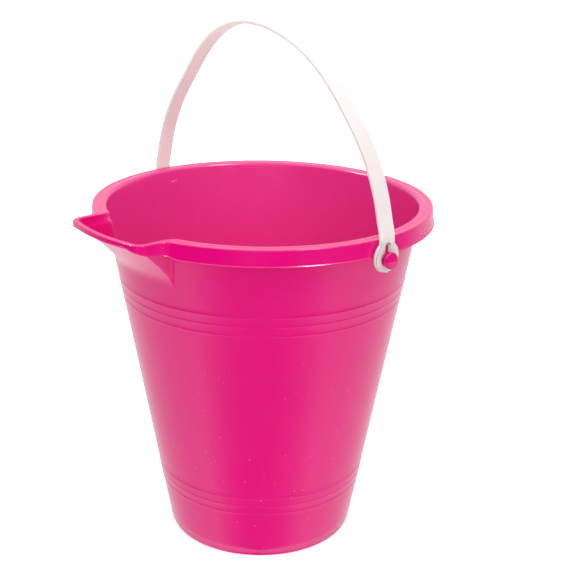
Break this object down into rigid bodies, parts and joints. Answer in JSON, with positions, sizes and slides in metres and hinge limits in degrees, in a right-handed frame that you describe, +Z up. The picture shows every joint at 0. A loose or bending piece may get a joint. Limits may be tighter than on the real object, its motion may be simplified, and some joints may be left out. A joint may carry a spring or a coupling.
{
  "type": "sand bucket",
  "caption": "Tapered toy sand bucket with a wide pouring spout, a flat rim with a hanging skirt, and a soft strap handle whose keyhole eyes clip over two moulded studs and swing on them.",
  "frame": {"origin": "centre of the base, on the plane the bucket stands on", "axes": "+Z up along the bucket's axis, the spout points to -Y, and the handle's hinge axis runs along X"},
  "size_m": [0.2082, 0.209, 0.2995],
  "materials": {
    "bucket_pink": "injection-moulded polypropylene, magenta pink, satin gloss",
    "handle_white": "soft injection-moulded polyethylene, natural white, faintly translucent"
  },
  "bodies": {
    "bucket": {"bucket": "bucket_pink"},
    "handle": {"handle": "handle_white"}
  },
  "joints": [
    {"name": "handle_swing", "type": "hinge", "parent": "bucket", "child": "handle", "pos_m": [0, 0, 0.1897], "axis": [1, 0, 0], "range_deg": [-128, 78]}
  ]
}
